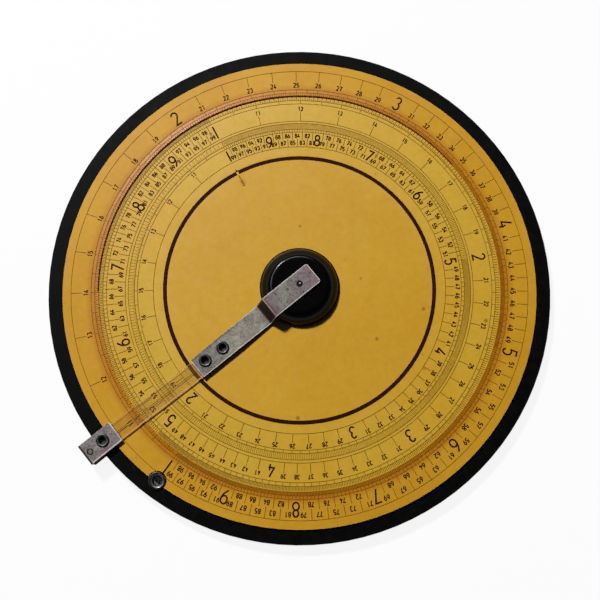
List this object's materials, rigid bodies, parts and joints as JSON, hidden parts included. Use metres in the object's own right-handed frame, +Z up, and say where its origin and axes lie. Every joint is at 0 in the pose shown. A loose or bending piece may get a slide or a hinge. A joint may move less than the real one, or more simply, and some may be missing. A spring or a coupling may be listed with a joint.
{
  "type": "circular slide rule",
  "caption": "Round desk slide rule: a printed disc turned by a centre knob over a printed board, with a swinging arm, clear hairline blade and rim clip.",
  "frame": {"origin": "centre of the felt's underside, on the axis that the disc and the cursor turn about", "axes": "+Z up from the desk along the turning axis; +Y towards the top of the pictured face, +X to its right"},
  "size_m": [0.25, 0.25, 0.0175],
  "materials": {
    "felt_black": "matte",
    "felt_grey": "matte",
    "board_black": "matte",
    "celluloid_amber": "satin",
    "celluloid_pale": "satin",
    "moulding_black": "gloss",
    "blade_clear": "gloss",
    "enamel_black": "satin",
    "steel": "satin",
    "brass": "satin"
  },
  "bodies": {
    "base": {"felt_backing": "felt_black", "base_board": "board_black", "scale_plate": "celluloid_amber", "friction_washer": "felt_grey", "hanging_eyelet": "enamel_black", "centre_pin": "steel", "pin_washer": "steel"},
    "disc": {"rotating_disc": "celluloid_pale", "knob": "moulding_black", "hub_bush": "brass", "knob_screw_1": "steel", "knob_screw_2": "steel", "knob_screw_3": "steel"},
    "cursor": {"cursor_arm": "steel", "spring_washer": "steel", "arm_eyelet_inner": "enamel_black", "arm_eyelet_outer": "enamel_black", "cursor_blade": "blade_clear", "clip_top_plate": "steel", "clip_lower_plate": "steel", "clip_spacer": "steel", "clip_eyelet": "enamel_black", "clip_rivet": "steel"}
  },
  "joints": [
    {"name": "disc_turn", "type": "hinge", "parent": "base", "child": "disc", "pos_m": [0, 0, 0], "axis": [0, 0, 1], "continuous": true},
    {"name": "cursor_swing", "type": "hinge", "parent": "base", "child": "cursor", "pos_m": [0, 0, 0], "axis": [0, 0, 1], "continuous": true}
  ]
}
